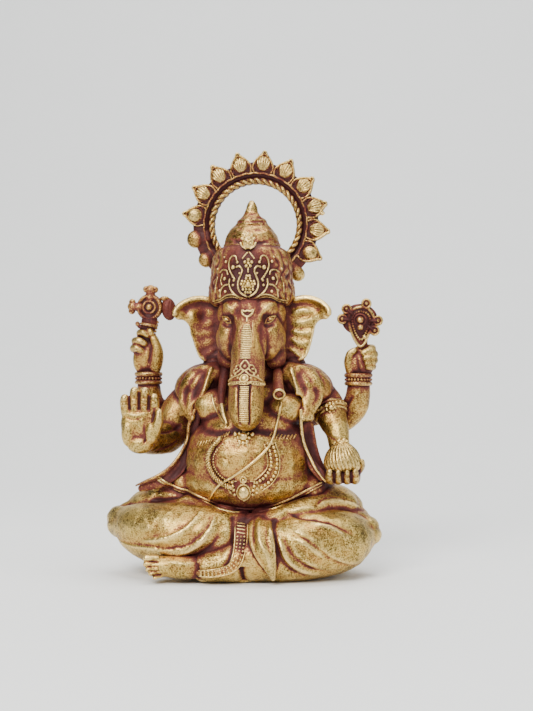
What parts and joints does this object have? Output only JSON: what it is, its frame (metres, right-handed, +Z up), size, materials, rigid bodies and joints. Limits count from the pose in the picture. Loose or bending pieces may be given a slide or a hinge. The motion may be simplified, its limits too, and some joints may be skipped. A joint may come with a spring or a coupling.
{
  "type": "seated deity figurine",
  "caption": "Seated four-armed elephant-headed figure in antique brass, with a tiered crown, a ring halo of leaves, crossed legs and a flat underside to stand on.",
  "frame": {"origin": "middle of the torso's flat underside, on the plane that the figure stands on", "axes": "+Z up, the figure faces -Y, its own right hand is at -X"},
  "size_m": [0.0927, 0.0571, 0.1452],
  "materials": {
    "figure_brass": "satin antique gold on skin and cloth masses, red-brown patina in the hollows, fine cast grain",
    "ornament_brass": "brighter rubbed gold on crown, halo, emblems and beads, red-brown patina between them",
    "cloth_brass": "satin antique gold on folds, darker olive and red-brown patina in the fold bottoms"
  },
  "bodies": {
    "root": {"breast_jewel": "ornament_brass", "crown_dome": "ornament_brass", "crown_finial": "ornament_brass", "halo_petal_01": "ornament_brass", "halo_petal_02": "ornament_brass", "halo_petal_03": "ornament_brass", "halo_petal_04": "ornament_brass", "halo_petal_05": "ornament_brass", "halo_petal_06": "ornament_brass", "halo_petal_07": "ornament_brass", "halo_petal_08": "ornament_brass", "halo_petal_09": "ornament_brass", "halo_petal_10": "ornament_brass", "halo_petal_11": "ornament_brass", "halo_petal_12": "ornament_brass", "halo_petal_13": "ornament_brass", "halo_ring": "ornament_brass", "halo_rope": "ornament_brass", "head": "figure_brass", "headdress": "ornament_brass", "left_armband": "ornament_brass", "left_cape": "cloth_brass", "left_ear": "figure_brass", "left_foot": "figure_brass", "left_forearm": "figure_brass", "left_hand": "figure_brass", "left_leg": "cloth_brass", "left_shawl_edge": "cloth_brass", "left_tusk_stub": "figure_brass", "left_upper_arm": "figure_brass", "necklace": "ornament_brass", "ornate_sash": "ornament_brass", "pendant": "ornament_brass", "plain_sash": "cloth_brass", "rear_left_arm": "figure_brass", "rear_left_bracelet": "ornament_brass", "rear_left_emblem": "ornament_brass", "rear_left_fist": "figure_brass", "rear_right_arm": "figure_brass", "rear_right_bracelet": "ornament_brass", "rear_right_emblem": "ornament_brass", "rear_right_fist": "figure_brass", "right_cape": "cloth_brass", "right_ear": "figure_brass", "right_forearm": "figure_brass", "right_hand": "figure_brass", "right_leg": "cloth_brass", "right_shawl_edge": "cloth_brass", "right_tusk": "figure_brass", "right_upper_arm": "figure_brass", "sacred_thread": "ornament_brass", "sweet": "ornament_brass", "tiara_palmette": "ornament_brass", "tiara_plate": "ornament_brass", "torso": "figure_brass", "trunk": "figure_brass", "trunk_band": "ornament_brass", "waist_cord": "ornament_brass"}
  },
  "joints": []
}
